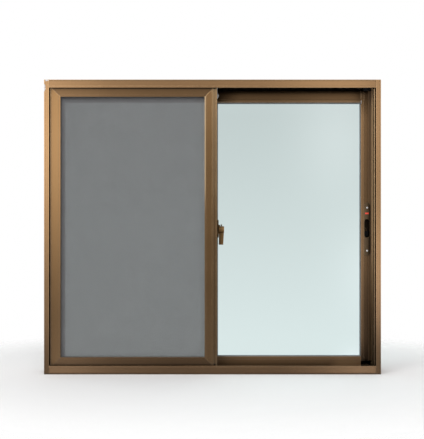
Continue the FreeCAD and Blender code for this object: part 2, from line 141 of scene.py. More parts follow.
def make_extrusion():
    group, given, result = shader_group(
        "extruded metal",
        [("Along", VECTOR, None), ("Place", VECTOR, None), ("Colour", COLOUR, None), ("Scuffed Highlight", COLOUR, None),
         ("Edge", NUMBER, 0.0), ("Near", NUMBER, 1.0), ("Far", NUMBER, 1.0), ("Chips", NUMBER, 0.0),
         ("Scuffed And Highlight Band", NUMBER, 0.0), ("Dust And Light", NUMBER, 0.0), ("Painted Shade", NUMBER, 0.0),
         ("Die Lines", NUMBER, 0.06), ("Mottle", NUMBER, 0.1), ("Roughness", NUMBER, 0.24)],
        [("Colour", COLOUR), ("Roughness", NUMBER), ("Metal", NUMBER), ("Height", NUMBER)])
    lines = noise(group, given["Along"], 1.0, 4.0)
    patches = noise(group, given["Place"], 9.0, 4.0)
    specks = noise(group, given["Place"], 700.0, 2.0)
    streak = wander(group, lines, given["Die Lines"])
    blotch = wander(group, patches, given["Mottle"])
    value = calc(group, "ADD", calc(group, "ADD", streak, blotch), 1.0)
    tinted = add(group, "ShaderNodeHueSaturation", {"Color": given["Colour"], "Value": value}).outputs[0]
    # Colour darkened by how enclosed the surface is, in recesses and corners: painted shade.
    lit = calc(group, "MAXIMUM", calc(group, "MULTIPLY", given["Near"], given["Far"]), 0.012)
    shaded = add(group, "ShaderNodeHueSaturation", {"Color": tinted, "Value": lit}).outputs[0]
    # Proud edges take the lighter colour, less so in recesses: partly scuffing, partly painted highlight.
    scuff_and_highlight_mask = calc(group, "MULTIPLY", given["Edge"], calc(group, "ADD", patches, 0.25), clamp=True)
    scuff_and_highlight_mask = calc(group, "MULTIPLY", scuff_and_highlight_mask, calc(group, "POWER", given["Near"], 0.5))
    scuff_and_highlight_mask = calc(group, "MAXIMUM", scuff_and_highlight_mask, given["Scuffed And Highlight Band"])
    scuffed_and_highlit = mix(group, scuff_and_highlight_mask, shaded, given["Scuffed Highlight"])
    # Then mixed towards near-black in given bands: painted shade.
    scuffed_and_highlit = mix(group, given["Painted Shade"], scuffed_and_highlit, PAINTED_SHADE)
    torn = ramp(group, calc(group, "ADD", noise(group, given["Place"], 260.0, 4.0), given["Chips"]), 0.95, 1.02)
    chipped = mix(group, torn, scuffed_and_highlit, (0.62, 0.60, 0.59, 1.0))
    facing = add(group, "ShaderNodeSeparateXYZ", {0: add(group, "ShaderNodeNewGeometry").outputs["Normal"]})
    lying = calc(group, "MULTIPLY", ramp(group, facing.outputs["Z"], 0.6, 0.95, 0.0, 0.8), patches)
    # Up-facing faces are dusted; the given bands of dusting, laid over the painted shade, are partly painted light.
    dust_and_light = calc(group, "MAXIMUM", lying, given["Dust And Light"])
    dusted_and_lit = mix(group, dust_and_light, chipped, DUST_AND_LIGHT)
    rough = calc(group, "ADD", given["Roughness"], calc(group, "MULTIPLY", blotch, 0.6))
    rough = calc(group, "ADD", rough, calc(group, "MULTIPLY", streak, 0.5))
    rough = calc(group, "ADD", rough, calc(group, "MULTIPLY", torn, 0.3))
    rough = calc(group, "ADD", rough, calc(group, "MULTIPLY", dust_and_light, 0.3), clamp=True)
    height = calc(group, "ADD", lines, calc(group, "MULTIPLY", specks, 0.5))
    dull = calc(group, "MAXIMUM", calc(group, "MULTIPLY", given["Scuffed And Highlight Band"], 0.6), torn)
    dull = calc(group, "MAXIMUM", dull, dust_and_light)
    group.links.new(dusted_and_lit, result["Colour"])
    group.links.new(calc(group, "SUBTRACT", 1.0, dull), result["Metal"])
    group.links.new(rough, result["Roughness"])
    group.links.new(height, result["Height"])
    return group


edge_highlight_and_shade = make_edge_highlight_and_shade()
extrusion = make_extrusion()


def new_material(name):
    material = bpy.data.materials.new(name)
    material.use_nodes = True
    tree = material.node_tree
    tree.nodes.clear()
    shader = tree.nodes.new("ShaderNodeBsdfPrincipled")
    out = tree.nodes.new("ShaderNodeOutputMaterial")
    tree.links.new(shader.outputs[0], out.inputs["Surface"])
    return material, tree, shader


def place_group(tree, group, values):
    made = add(tree, "ShaderNodeGroup", node_tree=group)
    for label, value in values.items():
        if isinstance(value, bpy.types.NodeSocket):
            tree.links.new(value, made.inputs[label])
        else:
            made.inputs[label].default_value = value
    return made.outputs


def shade_of(colour, factor):
    return tuple(part * factor for part in colour[:3]) + (1.0,)


def raise_bump(tree, shader, height, strength, distance):
    bump = add(tree, "ShaderNodeBump", {"Height": height, "Strength": strength, "Distance": distance})
    tree.links.new(bump.outputs[0], shader.inputs["Normal"])


BRONZE = (0.352, 0.205, 0.099, 1.0)
BRONZE_SCUFFED_HIGHLIGHT = (0.52, 0.36, 0.22, 1.0)
DIE_LINE_PITCH = 1.0 * MM


def chips_near(tree, place, spots):
    """How close a point is to a listed spot of chipped finish: a butt joint, and the left jamb's top corner, where the
    light mark is also a painted glint.
    """
    total = 0.0
    for centre, reach in spots:
        moved = add(tree, "ShaderNodeVectorMath", {0: place, 1: centre}, operation="SUBTRACT").outputs[0]
        scaled = add(tree, "ShaderNodeVectorMath", {0: moved, 1: tuple(1.0 / part for part in reach)},
                     operation="MULTIPLY").outputs[0]
        away = add(tree, "ShaderNodeVectorMath", {0: scaled}, operation="LENGTH").outputs["Value"]
        total = calc(tree, "ADD", total, ramp(tree, away, 0.3, 1.0, 0.6, 0.0))
    return total


EVENLY = (1.0, 0.0, 1.0)


def bands(tree, place, rows):
    """A mask that grows along an axis from start to end, with another share of it lower down."""
    parts = add(tree, "ShaderNodeSeparateXYZ", {0: place}).outputs
    total = 0.0
    for axis, start, end, amount, (low_share, low, high) in rows:
        across = calc(tree, "ABSOLUTE", parts["X"]) if axis == "both sides" else parts[axis]
        share = ramp(tree, parts["Z"], low, high, low_share, 1.0)
        band = calc(tree, "MULTIPLY", ramp(tree, across, start, end, 0.0, amount), share)
        total = calc(tree, "MAXIMUM", total, band)
    return total


def bronze(name, along, painted_light_level=1.0, near=0.02, far=0.12, edge=2.2 * MM, spots=(), scuffed_and_highlit=(), dust_and_light=(), painted_shade=(),
           metal=BRONZE, scuffed_highlight=BRONZE_SCUFFED_HIGHLIGHT):
    """Anodised aluminium whose die lines run along X, Y or Z; its light level, recess darkening and darker bands are
    painted shade, its lighter bands scuffing with painted highlight, and its dusted bands partly painted light.
    """
    material, tree, shader = new_material(name)
    stretch = [1.0 / DIE_LINE_PITCH] * 3
    stretch["XYZ".index(along)] = 3.0
    place = add(tree, "ShaderNodeTexCoord").outputs["Object"]
    lines = add(tree, "ShaderNodeMapping", {"Vector": place, "Scale": stretch}).outputs[0]
    edge_and_shade = place_group(tree, edge_highlight_and_shade, {"Edge Width": edge, "Near Reach": near, "Far Reach": far})
    finish = place_group(tree, extrusion, {
        "Along": lines, "Place": place, "Colour": shade_of(metal, painted_light_level), "Scuffed Highlight": shade_of(scuffed_highlight, painted_light_level),
        "Edge": edge_and_shade["Edge"], "Near": edge_and_shade["Near"], "Far": edge_and_shade["Far"], "Chips": chips_near(tree, place, spots),
        "Scuffed And Highlight Band": bands(tree, place, scuffed_and_highlit), "Dust And Light": bands(tree, place, dust_and_light), "Painted Shade": bands(tree, place, painted_shade),
        "Die Lines": 0.05, "Mottle": 0.10, "Roughness": 0.22})
    tree.links.new(finish["Colour"], shader.inputs["Base Color"])
    tree.links.new(finish["Roughness"], shader.inputs["Roughness"])
    tree.links.new(finish["Metal"], shader.inputs["Metallic"])
    raise_bump(tree, shader, finish["Height"], 0.05, 0.2 * MM)
    return material


def soften(piece, width, segments=2):
    """Rounds the sharp edges of a piece, as the die or the mould leaves them."""
    weld = piece.modifiers.new("join", "WELD")
    weld.merge_threshold = 0.01 * MM
    flats = piece.modifiers.new("flats", "DECIMATE")
    flats.decimate_type = "DISSOLVE"
    flats.angle_limit = math.radians(0.5)
    edge = piece.modifiers.new("edges", "BEVEL")
    edge.width = width
    edge.segments = segments
    edge.limit_method = "ANGLE"
    edge.angle_limit = math.radians(40)
    edge.use_clamp_overlap = True
    shading = piece.modifiers.new("flat faces stay flat", "WEIGHTED_NORMAL")
    shading.weight = 100
    shading.keep_sharp = True


def dress(node, material, width=None):
    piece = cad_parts[node]
    for place in piece.material_slots:
        place.material = material
    if width:
        soften(piece, width)
    return piece


# Light marks at the left jamb's top corner: chipped finish, and a painted glint along the edge.
CORNER_CHIPS_AND_GLINT = (((-0.599, -0.052, 1.022), (0.007, 0.01, 0.026)), ((-0.590, -0.052, 1.047), (0.012, 0.01, 0.006)))
# The fin tips in the jamb tracks are lightened, less so low down: painted highlight.
FIN_TIPS = (("both sides", 0.5822, 0.5795, 1.0, (0.45, 0.15, 0.50)),)
# The foot of the sill and jambs is near-black and the jambs darken towards the bottom: painted shade.
FOOT_PAINTED_SHADE = (("Z", 0.007, 0.002, 0.8, EVENLY),)
JAMB_PAINTED_SHADE = FOOT_PAINTED_SHADE + (("Z", 0.22, 0.03, 0.46, EVENLY),)
JAMB_SCUFFED_HIGHLIGHT = (0.58, 0.375, 0.195, 1.0)
jamb_bronze = bronze("bronze, jambs", "Z", near=0.03, spots=CORNER_CHIPS_AND_GLINT, edge=3.0 * MM, scuffed_and_highlit=FIN_TIPS,
                     painted_shade=JAMB_PAINTED_SHADE, scuffed_highlight=JAMB_SCUFFED_HIGHLIGHT)
for node in ("left_jamb", "right_jamb"):
    dress(node, jamb_bronze, 0.45 * MM)
# The head takes a lower painted light level than the jambs, the sill only slightly lower: painted shade.
dress("head_track", bronze("bronze, head", "X", 0.82), 0.45 * MM)
dress("sill_track", bronze("bronze, sill", "X", 0.98, painted_shade=FOOT_PAINTED_SHADE), 0.45 * MM)


# Insect screen: hollow bars of a slightly darker bronze, the darkness partly painted shade,
# mitred at 45 degrees and held by corner keys inside. The right stile carries a finger grip along its whole height.
WARM_BRONZE = (0.352, 0.201, 0.088, 1.0)
BARE_METAL_HIGHLIGHT = (0.95, 0.70, 0.42, 1.0)
# The grip band (mostly higher up), the stile's inner lip and a faint band low down are lightened: partly scuffed by
# hands, partly painted highlight.
FINGER_GRIP = (
    ("X", -0.003, 0.000, 0.13, (0.10, 0.55, 0.70)),
    ("X", -0.0238, -0.0254, 0.80, (0.12, 0.55, 0.70)),
    ("Z", 0.24, 0.16, 0.03, EVENLY),
)
# The screen bars take lower painted light levels, the top rail lowest under the head: painted shade.
dress("screen_left_stile", bronze("bronze, screen left", "Z", 0.80, near=0.008, far=0.05, metal=WARM_BRONZE), 0.3 * MM)
dress("screen_right_stile", bronze("bronze, screen grip", "Z", 0.86, scuffed_and_highlit=FINGER_GRIP, metal=WARM_BRONZE,
                                   scuffed_highlight=BARE_METAL_HIGHLIGHT), 0.3 * MM)
dress("screen_top_rail", bronze("bronze, screen top", "X", 0.50), 0.3 * MM)
dress("screen_bottom_rail", bronze("bronze, screen bottom", "X", 0.68), 0.3 * MM)


# Insect mesh: grey coated wire, woven square and pulled tight as a stiff panel. The wires
# are laid here as two crossing layers that touch.
WIRE_PITCH = 1.5 * MM
WIRE_WIDTH = 1.05 * MM


def geometry_tree(name, inputs):
    tree = bpy.data.node_groups.new(name, "GeometryNodeTree")
    sockets = {}
    for label, kind, value in inputs:
        socket = tree.interface.new_socket(label, in_out="INPUT", socket_type=kind)
        if value is not None:
            socket.default_value = value
        sockets[label] = socket.identifier
    tree.interface.new_socket("Geometry", in_out="OUTPUT", socket_type="NodeSocketGeometry")
    return tree, sockets, tree.nodes.new("NodeGroupInput").outputs, tree.nodes.new("NodeGroupOutput").inputs


def finish_tree(tree, shapes, material, result):
    """Joins the shapes, makes the copies real and gives them their material."""
    joined = tree.nodes.new("GeometryNodeJoinGeometry")
    for shape in shapes:
        tree.links.new(shape, joined.inputs[0])
    real = add(tree, "GeometryNodeRealizeInstances", {"Geometry": joined.outputs[0]})
    done = add(tree, "GeometryNodeSetMaterial", {"Geometry": real.outputs[0], "Material": material})
    tree.links.new(done.outputs[0], result[0])


def grow(name, tree, sockets, values, points=()):
    """Runs a geometry tree once, on some points if it needs them, and keeps its plain mesh."""
    start = bpy.data.meshes.new(name)
    start.from_pydata([tuple(point) for point in points], [], [])
    piece = bpy.data.objects.new(name, start)
    bpy.context.scene.collection.objects.link(piece)
    modifier = piece.modifiers.new(name, "NODES")
    modifier.node_group = tree
    for label, value in values.items():
        modifier[sockets[label]] = value
    bpy.context.view_layer.update()
    shape = piece.evaluated_get(bpy.context.evaluated_depsgraph_get())
    mesh = bpy.data.meshes.new_from_object(shape)
    piece.modifiers.clear()
    piece.data = mesh
    return piece


def make_moulded():
    """Fine mottling and grain for rubber, plastic and coated wire."""
    group, given, result = shader_group(
        "moulded surface",
        [("Place", VECTOR, None), ("Colour", COLOUR, None), ("Grain", NUMBER, 900.0),
         ("Mottle", NUMBER, 0.2), ("Roughness", NUMBER, 0.5)],
        [("Colour", COLOUR), ("Roughness", NUMBER), ("Height", NUMBER)])
    fine = noise(group, given["Place"], given["Grain"], 2.0)
    broad = noise(group, given["Place"], 22.0, 3.0)
    value = calc(group, "ADD", wander(group, fine, given["Mottle"]), wander(group, broad, given["Mottle"]))
    value = calc(group, "ADD", value, 1.0)
    tinted = add(group, "ShaderNodeHueSaturation", {"Color": given["Colour"], "Value": value}).outputs[0]
    group.links.new(tinted, result["Colour"])
    group.links.new(calc(group, "ADD", given["Roughness"], wander(group, broad, 0.25), clamp=True),
                    result["Roughness"])
    group.links.new(fine, result["Height"])
    return group


moulded = make_moulded()


def plain(name, colour, roughness, grain=900.0, mottle=0.2, bump=0.15):
    material, tree, shader = new_material(name)
    place = add(tree, "ShaderNodeTexCoord").outputs["Object"]
    finish = place_group(tree, moulded, {"Place": place, "Colour": colour, "Grain": grain, "Mottle": mottle,
                                         "Roughness": roughness})
    tree.links.new(finish["Colour"], shader.inputs["Base Color"])
    tree.links.new(finish["Roughness"], shader.inputs["Roughness"])
    raise_bump(tree, shader, finish["Height"], bump, 0.1 * MM)
    return material


def make_wire_tree():
    tree, sockets, given, result = geometry_tree(
        "crossing wires",
        [("Width", NUMBER, 0.5), ("Height", NUMBER, 1.0), ("Pitch", NUMBER, WIRE_PITCH),
         ("Wire", NUMBER, WIRE_WIDTH), ("Start", VECTOR, None), ("Material", "NodeSocketMaterial", None)])
    radius = calc(tree, "MULTIPLY", given["Wire"], 0.5)
    layers = []
    for upright, depth in ((True, 1.0), (False, 2.6)):
        length = given["Height"] if upright else given["Width"]
        span = given["Width"] if upright else given["Height"]
        count = calc(tree, "FLOOR", calc(tree, "DIVIDE", span, given["Pitch"]))
        end = add(tree, "ShaderNodeCombineXYZ", {"Z" if upright else "X": length}).outputs[0]
        line = add(tree, "GeometryNodeCurvePrimitiveLine", {"End": end}).outputs[0]
        section = add(tree, "GeometryNodeCurvePrimitiveCircle", {"Resolution": 6, "Radius": radius}).outputs[0]
        wire = add(tree, "GeometryNodeCurveToMesh",
                   {"Curve": line, "Profile Curve": section, "Fill Caps": True}).outputs[0]
        step = add(tree, "ShaderNodeCombineXYZ", {"X" if upright else "Z": given["Pitch"]}).outputs[0]
        behind = add(tree, "ShaderNodeCombineXYZ", {"Y": calc(tree, "MULTIPLY", radius, depth)}).outputs[0]
        first = add(tree, "ShaderNodeVectorMath", {0: given["Start"], 1: behind}, operation="ADD").outputs[0]
        points = add(tree, "GeometryNodeMeshLine", {"Count": count, "Start Location": first, "Offset": step})
        layers.append(add(tree, "GeometryNodeInstanceOnPoints",
                          {"Points": points.outputs[0], "Instance": wire}).outputs[0])
    finish_tree(tree, layers, given["Material"], result)
    return tree, sockets


wire_grey = plain("grey screen wire", (0.186, 0.183, 0.185, 1.0), 0.6, 2500.0, 0.25)
wire_tree, sockets = make_wire_tree()
low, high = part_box("screen_mesh")
wires = grow("screen_wires", wire_tree, sockets,
             {"Width": high[0] - low[0], "Height": high[2] - low[2], "Pitch": WIRE_PITCH, "Wire": WIRE_WIDTH,
              "Start": tuple(low), "Material": wire_grey})
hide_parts("screen_mesh")
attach(wires, "screen")


# Spline: a ribbed rubber cord rolled into the groove behind the bars. It holds the mesh
# tight all round.
RIB_PITCH = 1.6 * MM
RIB_DEPTH = 0.12


def make_spline_tree():
    tree, sockets, given, result = geometry_tree(
        "ribbed cord round a rectangle",
        [("Width", NUMBER, 0.5), ("Height", NUMBER, 1.0), ("Centre", VECTOR, None), ("Radius", NUMBER, 0.0018),
         ("Rib Pitch", NUMBER, RIB_PITCH), ("Rib Depth", NUMBER, RIB_DEPTH), ("Corner", NUMBER, 0.004),
         ("Material", "NodeSocketMaterial", None)])
    path = add(tree, "GeometryNodeCurvePrimitiveQuadrilateral",
               {"Width": given["Width"], "Height": given["Height"]}).outputs[0]
    rounded = add(tree, "GeometryNodeFilletCurve", {"Curve": path, "Radius": given["Corner"], "Count": 4},
                  mode="POLY").outputs[0]
    upright = add(tree, "GeometryNodeTransform",
                  {"Geometry": rounded, "Translation": given["Centre"],
                   "Rotation": (math.radians(90), 0.0, 0.0)}).outputs[0]
    half_pitch = calc(tree, "MULTIPLY", given["Rib Pitch"], 0.5)
    points = add(tree, "GeometryNodeResampleCurve", {"Curve": upright, "Length": half_pitch}, mode="LENGTH")
    index = add(tree, "GeometryNodeInputIndex").outputs[0]
    valley = calc(tree, "MULTIPLY", calc(tree, "MODULO", index, 2.0), given["Rib Depth"])
    swell = calc(tree, "SUBTRACT", 1.0, valley)
    ribbed = add(tree, "GeometryNodeSetCurveRadius", {"Curve": points.outputs[0], "Radius": swell}).outputs[0]
    section = add(tree, "GeometryNodeCurvePrimitiveCircle", {"Resolution": 8, "Radius": given["Radius"]}).outputs[0]
    tube = add(tree, "GeometryNodeCurveToMesh", {"Curve": ribbed, "Profile Curve": section})
    if "Scale" in tube.inputs:
        tree.links.new(swell, tube.inputs["Scale"])
    finish_tree(tree, [tube.outputs[0]], given["Material"], result)
    return tree, sockets


grey_rubber = plain("grey rubber", (0.13, 0.125, 0.12, 1.0), 0.62, 1200.0, 0.25)
spline_tree, sockets = make_spline_tree()
low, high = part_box("screen_spline")
thick = high[1] - low[1]
spline = grow("screen_spline_cord", spline_tree, sockets,
              {"Width": high[0] - low[0] - thick, "Height": high[2] - low[2] - thick,
               "Centre": tuple((a + b) / 2.0 for a, b in zip(low, high)), "Radius": thick / 2.0,
               "Material": grey_rubber})
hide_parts("screen_spline")
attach(spline, "screen")


# Pile strips: short wool bristles on a woven backing, slid into the back of the screen's
# grip and of the left sash's meeting stile to close the gap to the next panel.
BRISTLE_PITCH = 1.25 * MM
BRISTLE_RADIUS = 0.42 * MM
BACKING_SHARE = 0.22


def make_pile_tree():
    tree, sockets, given, result = geometry_tree(
        "bristles on a strip",
        [("Width", NUMBER, 0.006), ("Length", NUMBER, 1.0), ("Height", NUMBER, 0.002), ("Back", VECTOR, None),
         ("Pitch", NUMBER, BRISTLE_PITCH), ("Thickness", NUMBER, BRISTLE_RADIUS), ("Seed", "NodeSocketInt", 5),
         ("Material", "NodeSocketMaterial", None)])
    backing = calc(tree, "MULTIPLY", given["Height"], BACKING_SHARE)
    size = add(tree, "ShaderNodeCombineXYZ", {"X": given["Width"], "Y": backing, "Z": given["Length"]}).outputs[0]
    slab = add(tree, "GeometryNodeMeshCube", {"Size": size}).outputs[0]
    half = add(tree, "ShaderNodeCombineXYZ", {"Y": calc(tree, "MULTIPLY", backing, 0.5)}).outputs[0]
    seat = add(tree, "ShaderNodeVectorMath", {0: given["Back"], 1: half}, operation="ADD").outputs[0]
    slab = add(tree, "GeometryNodeTransform", {"Geometry": slab, "Translation": seat}).outputs[0]
    rows = calc(tree, "FLOOR", calc(tree, "DIVIDE", given["Width"], given["Pitch"]))
    tufts = calc(tree, "FLOOR", calc(tree, "DIVIDE", given["Length"], given["Pitch"]))
    inner_width = calc(tree, "SUBTRACT", given["Width"], calc(tree, "MULTIPLY", given["Thickness"], 4.0))
    inner_length = calc(tree, "SUBTRACT", given["Length"], calc(tree, "MULTIPLY", given["Thickness"], 4.0))
    grid = add(tree, "GeometryNodeMeshGrid", {"Size X": inner_width, "Size Y": inner_length,
                                              "Vertices X": rows, "Vertices Y": tufts}).outputs[0]
    foot = add(tree, "ShaderNodeCombineXYZ", {"Y": backing}).outputs[0]
    foot = add(tree, "ShaderNodeVectorMath", {0: given["Back"], 1: foot}, operation="ADD").outputs[0]
    grid = add(tree, "GeometryNodeTransform", {"Geometry": grid, "Translation": foot,
                                               "Rotation": (math.radians(90), 0.0, 0.0)}).outputs[0]
    tall = calc(tree, "SUBTRACT", given["Height"], backing)
    bristle = add(tree, "GeometryNodeMeshCone", {"Vertices": 4, "Radius Top": 0.2 * MM,
                                                 "Radius Bottom": given["Thickness"], "Depth": tall}).outputs[0]
    lean = add(tree, "FunctionNodeRandomValue",
               {0: (-1.72, -0.18, 0.0), 1: (-1.42, 0.18, 3.0), "Seed": given["Seed"]}, data_type="FLOAT_VECTOR")
    short = add(tree, "FunctionNodeRandomValue", {2: 0.8, 3: 0.96, "Seed": given["Seed"]}, data_type="FLOAT")
    placed = add(tree, "GeometryNodeInstanceOnPoints", {
        "Points": grid, "Instance": bristle, "Rotation": lean.outputs[0], "Scale": short.outputs[1]}).outputs[0]
    finish_tree(tree, [slab, placed], given["Material"], result)
    return tree, sockets


pile_grey = plain("grey wool pile", (0.12, 0.115, 0.11, 1.0), 0.85, 1500.0, 0.4)
pile_tree, sockets = make_pile_tree()
for body, node in (("screen", "screen_pile_seal"), ("left_sash", "left_sash_pile_seal")):
    low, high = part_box(node)
    pile = grow(node + "_bristles", pile_tree, sockets,
                {"Width": high[0] - low[0], "Length": high[2] - low[2], "Height": high[1] - low[1],
                 "Back": ((low[0] + high[0]) / 2.0, low[1], (low[2] + high[2]) / 2.0), "Material": pile_grey})
    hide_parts(node)
    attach(pile, body)


# Glass sashes: two of the same make, left on the middle track and right on the far one.
# Each has hollow stiles and rails of bronze aluminium, butted and screwed through the stiles.
JOINT_CHIPS = (((0.541, 0.016, 0.979), (0.004, 0.01, 0.013)),)
# The outer channels beside the stiles are dusted, less so low down; laid over the painted shade, this is partly
# painted light.
CHANNEL_DUST_AND_LIGHT = (("both sides", 0.5655, 0.5685, 0.52, (0.55, 0.12, 0.38)),)
# The stiles darken towards their outer edge, about twice as much low down: painted shade.
STILE_PAINTED_SHADE = (("both sides", 0.538, 0.556, 0.27, (2.1, 0.22, 0.48)),)
# A thin line near the stiles' outer edge is lightened, less so low down: painted highlight.
OUTER_BEAD = (("both sides", 0.5735, 0.5755, 0.45, (0.2, 0.15, 0.45)),)
# The lower lip of the top rails is lightened: painted highlight.
LOWER_LIP = (("Z", 0.9825, 0.9785, 0.40, EVENLY),)
# The sash tops grow darker from X 0.05 to 0.30 and stay so to the right: painted shade.
TOP_PAINTED_SHADE = (("X", 0.05, 0.30, 0.26, EVENLY),)
# The sash feet are dusted, more so higher up and towards the right sash's right end; over the painted shade, this is
# partly painted light.
RAIL_DUST_AND_LIGHT = (("Z", -0.02, 0.045, 0.56, EVENLY), ("X", 0.36, 0.47, 0.70, EVENLY))
# The sash tops take a low painted light level under the head's shade, and the feet a slightly raised one: painted
# light.
sash_upright = bronze("bronze, sash stiles", "Z", 1.0, near=0.012, spots=JOINT_CHIPS, scuffed_and_highlit=OUTER_BEAD,
                      dust_and_light=CHANNEL_DUST_AND_LIGHT, painted_shade=STILE_PAINTED_SHADE)
sash_top = bronze("bronze, sash tops", "X", 0.55, far=0.09, scuffed_and_highlit=LOWER_LIP, painted_shade=TOP_PAINTED_SHADE)
sash_foot = bronze("bronze, sash feet", "X", 1.05, near=0.012, dust_and_light=RAIL_DUST_AND_LIGHT)
SASHES = ("left", "right")
for sash in SASHES:
    for part in ("outer_stile", "meeting_stile"):
        dress("%s_sash_%s" % (sash, part), sash_upright, 0.4 * MM)
    dress("%s_sash_top_rail" % sash, sash_top, 0.4 * MM)
    dress("%s_sash_bottom_rail" % sash, sash_foot, 0.4 * MM)


# Panes: single 5 mm float glass with a faint green cast, bedded all round in a grey rubber
# channel that is pushed into the bars.
GLASS_GREEN = (0.827, 0.955, 0.945, 1.0)
glass, tree, shader = new_material("window glass")
place = add(tree, "ShaderNodeTexCoord").outputs["Object"]
film = ramp(tree, noise(tree, place, 3.0, 4.0), 0.35, 0.8, 0.0, 0.02)
tree.links.new(film, shader.inputs["Roughness"])
raise_bump(tree, shader, noise(tree, place, 1.6, 1.0), 0.02, 1.0 * MM)
shader.inputs["Base Color"].default_value = GLASS_GREEN
shader.inputs["Transmission Weight"].default_value = 1.0
shader.inputs["IOR"].default_value = 1.5
clear = add(tree, "ShaderNodeBsdfTransparent", {"Color": GLASS_GREEN})
rays = add(tree, "ShaderNodeLightPath")
let_through = add(tree, "ShaderNodeMixShader", {0: rays.outputs["Is Shadow Ray"], 1: shader.outputs[0],
                                                2: clear.outputs[0]})
tree.links.new(let_through.outputs[0], tree.nodes["Material Output"].inputs["Surface"])
gasket_grey = plain("grey glazing rubber", (0.22, 0.235, 0.245, 1.0), 0.5, 1200.0, 0.25)
for sash in SASHES:
    dress("%s_sash_glass" % sash, glass)
    dress("%s_sash_gasket" % sash, gasket_grey, 0.5 * MM)


# Rollers, top guides: black nylon wheels in carriers under the rails, and black blocks that
# plug into the stile tops. The left sash's inner guide is white, with a wedge down its side.
black_nylon = plain("black nylon", (0.018, 0.018, 0.018, 1.0), 0.45)
white_nylon = plain("white nylon", (0.70, 0.69, 0.69, 1.0), 0.45, 900.0, 0.12)
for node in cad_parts:
    if "roller" in node or "guide" in node:
        dress(node, white_nylon if node == "left_sash_guide_inner" else black_nylon, 0.3 * MM)


# Flush locks: a long rounded plate and finger cup cast in one, dark bronze, let into each
# outer stile, with a red marker under clear lacquer and a black thumb slide in the cup.
# Two countersunk screws hold each plate.
CASTING = (0.18, 0.120, 0.066, 1.0)
CASTING_SCUFFED_HIGHLIGHT = (0.36, 0.25, 0.14, 1.0)


def casting(name, colour, scuffed_highlight, near=0.012, far=0.05, roughness=0.34):
    material, tree, shader = new_material(name)
    place = add(tree, "ShaderNodeTexCoord").outputs["Object"]
    # The cup and the plate's recesses are darkened by how enclosed they are: painted shade; proud edges take a lighter
    # colour, partly painted highlight.
    edge_and_shade = place_group(tree, edge_highlight_and_shade, {"Edge Width": 1.2 * MM, "Near Reach": near, "Far Reach": far})
    finish = place_group(tree, extrusion, {
        "Along": place, "Place": place, "Colour": colour, "Scuffed Highlight": scuffed_highlight, "Edge": edge_and_shade["Edge"],
        "Near": edge_and_shade["Near"], "Far": edge_and_shade["Far"], "Die Lines": 0.0, "Mottle": 0.35, "Roughness": roughness})
    tree.links.new(finish["Colour"], shader.inputs["Base Color"])
    tree.links.new(finish["Roughness"], shader.inputs["Roughness"])
    raise_bump(tree, shader, finish["Height"], 0.12, 0.3 * MM)
    shader.inputs["Metallic"].default_value = 0.85
    shader.inputs["Specular IOR Level"].default_value = 0.15
    return material


dark_casting = casting("dark bronze casting", CASTING, CASTING_SCUFFED_HIGHLIGHT)
red_enamel = plain("red enamel", (1.0, 0.08, 0.035, 1.0), 0.3, 600.0, 0.15)
steel = casting("plated screw", (0.86, 0.83, 0.80, 1.0), (0.95, 0.93, 0.90, 1.0), 0.0006, 0.0008)
SCREW_RADIUS = 3.2 * MM
SCREW_RISE = 0.55 * MM
PLATE_SCREW_FROM_END = 18.0 * MM


def make_screw_tree():
    """A low domed head with a cross cut into it, at each point, facing the given way."""
    tree, sockets, given, result = geometry_tree(
        "screw heads",
        [("Points", "NodeSocketGeometry", None), ("Radius", NUMBER, SCREW_RADIUS), ("Rise", NUMBER, SCREW_RISE),
         ("Facing", VECTOR, None), ("Turn", NUMBER, 0.6), ("Material", "NodeSocketMaterial", None)])
    top = calc(tree, "MULTIPLY", given["Radius"], 0.72)
    head = add(tree, "GeometryNodeMeshCone", {"Vertices": 24, "Radius Top": top, "Radius Bottom": given["Radius"],
                                              "Depth": given["Rise"]}).outputs[0]
    long = calc(tree, "MULTIPLY", given["Radius"], 1.1)
    thin = calc(tree, "MULTIPLY", given["Radius"], 0.26)
    cutters = []
    for wide, high in ((long, thin), (thin, long)):
        size = add(tree, "ShaderNodeCombineXYZ", {"X": wide, "Y": high, "Z": given["Rise"]}).outputs[0]
        cutter = add(tree, "GeometryNodeMeshCube", {"Size": size}).outputs[0]
        lift = add(tree, "ShaderNodeCombineXYZ", {"Z": calc(tree, "MULTIPLY", given["Rise"], 0.85)}).outputs[0]
        cutters.append(add(tree, "GeometryNodeTransform", {"Geometry": cutter, "Translation": lift}).outputs[0])
    cut = add(tree, "GeometryNodeMeshBoolean", {"Mesh 1": head}, operation="DIFFERENCE", solver="EXACT")
    for cutter in cutters:
        tree.links.new(cutter, cut.inputs["Mesh 2"])
    turned = add(tree, "GeometryNodeTransform", {
        "Geometry": cut.outputs[0],
        "Rotation": add(tree, "ShaderNodeCombineXYZ", {"Z": given["Turn"]}).outputs[0]}).outputs[0]
    aim = add(tree, "FunctionNodeAlignRotationToVector", {"Vector": given["Facing"]}, axis="Z").outputs[0]
    placed = add(tree, "GeometryNodeInstanceOnPoints", {"Points": given["Points"], "Instance": turned,
                                                        "Rotation": aim}).outputs[0]
    finish_tree(tree, [placed], given["Material"], result)
    return tree, sockets


screw_tree, screw_sockets = make_screw_tree()


def drive(name, points, facing, body, radius=SCREW_RADIUS, rise=SCREW_RISE, turn=0.6):
    seats = [Vector(point) + Vector(facing) * rise * 0.5 for point in points]
    heads = grow(name, screw_tree, screw_sockets, {"Radius": radius, "Rise": rise, "Facing": facing, "Turn": turn,
                                                   "Material": steel}, seats)
    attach(heads, body)
    return heads


